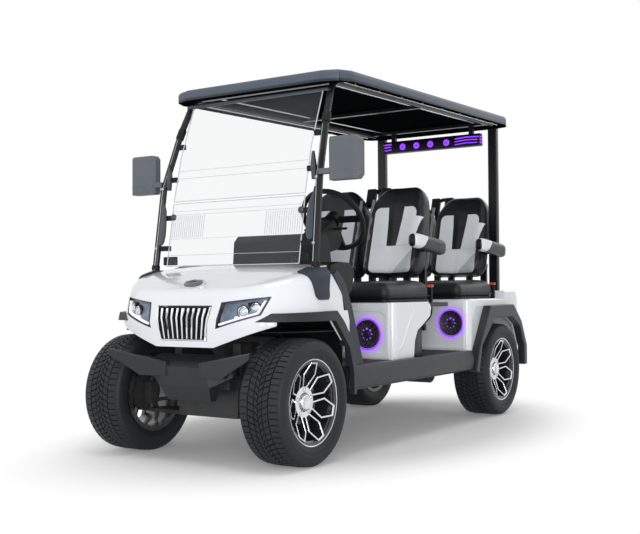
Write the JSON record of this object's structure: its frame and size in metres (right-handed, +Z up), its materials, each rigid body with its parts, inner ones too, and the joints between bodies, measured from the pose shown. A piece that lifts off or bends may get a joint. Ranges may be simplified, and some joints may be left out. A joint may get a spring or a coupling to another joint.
{
  "type": "four-seat electric golf cart",
  "caption": "Open utility car with a hooded front body, two bench rows with swinging armrests, a flat roof on posts, a clear windscreen, steered front wheels and a driven rear axle",
  "frame": {"origin": "on the ground under the middle of the length and width", "axes": "+Z up, the front faces -Y, +X is the driver's side (the car's left)"},
  "size_m": [1.434, 2.88, 1.9397],
  "materials": {
    "tyre_rubber": "moulded tread rubber",
    "wheel_alloy": "black paint with machined faces",
    "running_gear": "dark coated castings and drums",
    "chassis_black": "black powder coat",
    "white_body": "gloss white moulded body",
    "charcoal_plastic": "matt charcoal moulding",
    "black_plastic": "matt black moulding",
    "floor_rubber": "ribbed rubber mat",
    "battery_case": "sealed case",
    "lamp_lens": "clear lens over a dark reflector",
    "bright_trim": "bright plated trim",
    "red_lens": "red lens",
    "speaker_black": "cone and surround",
    "seat_black": "smooth black vinyl",
    "seat_light": "light grey vinyl panels on a black shell",
    "frame_black": "satin black tube",
    "webbing": "woven belt and plastic buckle",
    "roof_slate": "dark slate moulded roof",
    "clear_pane": "clear pane"
  },
  "bodies": {
    "cart": {"armrest_brackets": "black_plastic", "battery_block": "battery_case", "belt_towers": "black_plastic", "canopy_frame": "frame_black", "chassis_frame": "chassis_black", "cowl_trims": "charcoal_plastic", "dampers": "chassis_black", "dashboard": "black_plastic", "floor_mats": "floor_rubber", "floor_pan": "chassis_black", "front_bumper": "charcoal_plastic", "front_cowl": "white_body", "front_flares": "charcoal_plastic", "front_seat_box": "white_body", "front_suspension": "chassis_black", "grille": "bright_trim", "headlamps": "lamp_lens", "mirrors": "charcoal_plastic", "pedals": "black_plastic", "rear_axle": "running_gear", "rear_body": "white_body", "rear_bumper": "charcoal_plastic", "rear_flares": "charcoal_plastic", "rear_posts": "frame_black", "roof": "roof_slate", "seat_backs": "seat_light", "seat_belts": "webbing", "seat_cushions": "seat_black", "seat_frames": "frame_black", "sills": "charcoal_plastic", "sound_bar": "black_plastic", "speakers": "speaker_black", "steering_column": "black_plastic", "tail_lamps": "red_lens", "wheel_liners": "black_plastic", "windscreen": "clear_pane", "windscreen_clips": "black_plastic"},
    "wheel_front_left": {"tyre_front_left": "tyre_rubber", "rim_front_left": "wheel_alloy"},
    "wheel_front_right": {"tyre_front_right": "tyre_rubber", "rim_front_right": "wheel_alloy"},
    "wheel_rear_left": {"tyre_rear_left": "tyre_rubber", "rim_rear_left": "wheel_alloy"},
    "wheel_rear_right": {"tyre_rear_right": "tyre_rubber", "rim_rear_right": "wheel_alloy"},
    "left_knuckle": {"knuckle_left": "running_gear"},
    "right_knuckle": {"knuckle_right": "running_gear"},
    "steering_wheel_body": {"steering_wheel": "black_plastic"},
    "front_left_armrest": {"armrest_front_left": "seat_black"},
    "front_right_armrest": {"armrest_front_right": "seat_black"},
    "rear_left_armrest": {"armrest_rear_left": "seat_black"},
    "rear_right_armrest": {"armrest_rear_right": "seat_black"}
  },
  "joints": [
    {"name": "steer_left", "type": "hinge", "parent": "cart", "child": "left_knuckle", "pos_m": [0.4, -1.15, 0.29], "axis": [0, 0, 1], "range_deg": [-25, 25]},
    {"name": "steer_right", "type": "hinge", "parent": "cart", "child": "right_knuckle", "pos_m": [-0.4, -1.15, 0.29], "axis": [0, 0, 1], "range_deg": [-25, 25]},
    {"name": "steering_wheel_turn", "type": "hinge", "parent": "cart", "child": "steering_wheel_body", "pos_m": [0.265, -0.482, 1.166], "axis": [0, 0.8191, 0.5736], "range_deg": [-350, 350]},
    {"name": "spin_front_left", "type": "hinge", "parent": "left_knuckle", "child": "wheel_front_left", "pos_m": [0.4755, -1.15, 0.29], "axis": [1, 0, 0], "continuous": true},
    {"name": "spin_rear_left", "type": "hinge", "parent": "cart", "child": "wheel_rear_left", "pos_m": [0.4675, 1.05, 0.29], "axis": [1, 0, 0], "continuous": true},
    {"name": "spin_front_right", "type": "hinge", "parent": "right_knuckle", "child": "wheel_front_right", "pos_m": [-0.4755, -1.15, 0.29], "axis": [1, 0, 0], "continuous": true},
    {"name": "spin_rear_right", "type": "hinge", "parent": "cart", "child": "wheel_rear_right", "pos_m": [-0.4675, 1.05, 0.29], "axis": [1, 0, 0], "continuous": true},
    {"name": "armrest_front_left_lift", "type": "hinge", "parent": "cart", "child": "front_left_armrest", "pos_m": [0.495, 0.318, 1.042], "axis": [-1, 0, 0], "range_deg": [0, 95]},
    {"name": "armrest_front_right_lift", "type": "hinge", "parent": "cart", "child": "front_right_armrest", "pos_m": [-0.495, 0.318, 1.042], "axis": [-1, 0, 0], "range_deg": [0, 95]},
    {"name": "armrest_rear_left_lift", "type": "hinge", "parent": "cart", "child": "rear_left_armrest", "pos_m": [0.495, 1.223, 1.052], "axis": [-1, 0, 0], "range_deg": [0, 95]},
    {"name": "armrest_rear_right_lift", "type": "hinge", "parent": "cart", "child": "rear_right_armrest", "pos_m": [-0.495, 1.223, 1.052], "axis": [-1, 0, 0], "range_deg": [0, 95]}
  ],
  "couplings": [
    {"joint": "steer_right", "follows": "steer_left", "ratio": 1},
    {"joint": "steering_wheel_turn", "follows": "steer_left", "ratio": 14}
  ]
}
